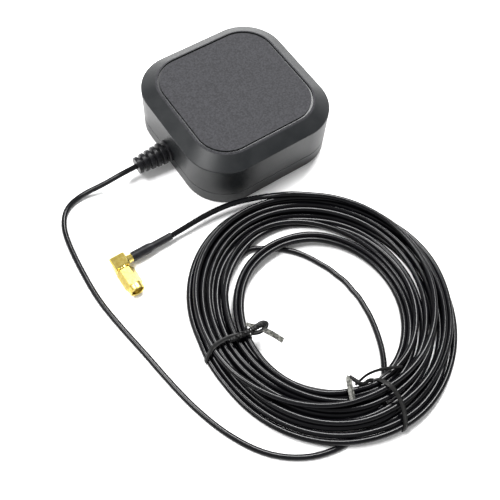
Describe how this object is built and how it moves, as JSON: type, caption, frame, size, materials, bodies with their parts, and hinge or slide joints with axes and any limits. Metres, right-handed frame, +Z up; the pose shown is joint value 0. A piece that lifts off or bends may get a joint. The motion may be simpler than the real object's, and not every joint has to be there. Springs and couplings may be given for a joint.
{
  "type": "gps antenna",
  "caption": "Square magnet-base satellite navigation antenna with a thin coaxial lead, coiled and tied, that ends in an angled screw-on plug.",
  "frame": {"origin": "centre of the housing's underside, on the surface that it stands on", "axes": "+Z up; the lead leaves the -X side of the housing; the coil lies on the -Y side; the plug's axis points along -Y"},
  "size_m": [0.1566, 0.224, 0.032],
  "materials": {
    "cover_plastic": "black moulded plastic, fine spark texture on top, satin walls",
    "base_plastic": "black moulded plastic",
    "seal_rubber": "matt silicone",
    "screw_steel": "zinc plated",
    "magnet_nickel": "nickel plated",
    "board_laminate": "green solder mask",
    "shield_tin": "tinned sheet",
    "chip_plastic": "moulded epoxy",
    "filter_ceramic": "matt",
    "patch_ceramic": "matt fired",
    "silver_plating": "fired silver",
    "foam_tape": "acrylic foam",
    "tinned_wire": "tinned copper",
    "boot_rubber": "soft moulded",
    "cable_jacket": "satin extruded jacket",
    "cable_insulation": "smooth",
    "tie_plastic": "coated wire ribbon",
    "sleeve_plastic": "shrunk polyolefin",
    "gold_plating": "polished gold plating",
    "spring_bronze": "bare",
    "gasket_silicone": "matt",
    "white_insulator": "turned"
  },
  "bodies": {
    "antenna": {"top_cover": "cover_plastic", "base_plate": "base_plastic", "sealing_ring": "seal_rubber", "cover_screws": "screw_steel", "magnets": "magnet_nickel", "circuit_board": "board_laminate", "board_screws": "screw_steel", "shield_can": "shield_tin", "amplifier_chips": "chip_plastic", "signal_filters": "filter_ceramic", "board_passives": "filter_ceramic", "lower_patch": "patch_ceramic", "upper_patch": "patch_ceramic", "lower_patch_plating": "silver_plating", "upper_patch_plating": "silver_plating", "patch_tapes": "foam_tape", "feed_pins": "tinned_wire", "strain_relief": "boot_rubber", "entry_jacket": "cable_jacket", "entry_braid": "tinned_wire", "entry_insulation": "cable_insulation", "entry_wire": "tinned_wire", "braid_clip": "shield_tin", "cable_lead": "cable_jacket", "cable_coil": "cable_jacket", "cable_inner_turn": "cable_jacket", "cable_tail": "cable_jacket", "twist_tie_left": "tie_plastic", "twist_tie_right": "tie_plastic", "heat_shrink_sleeve": "sleeve_plastic", "connector_body": "gold_plating", "retaining_ring": "spring_bronze", "nut_gasket": "gasket_silicone", "connector_insulator": "white_insulator", "center_pin": "gold_plating", "rear_cap": "gold_plating", "crimp_ferrule": "gold_plating", "plug_jacket": "cable_jacket", "plug_braid": "tinned_wire", "plug_insulation": "cable_insulation", "plug_wire": "tinned_wire"},
    "plug_nut": {"coupling_nut": "gold_plating"}
  },
  "joints": [
    {"name": "nut_spin", "type": "hinge", "parent": "antenna", "child": "plug_nut", "pos_m": [-0.0952, -0.054, 0.004], "axis": [0, -1, 0], "continuous": true}
  ]
}
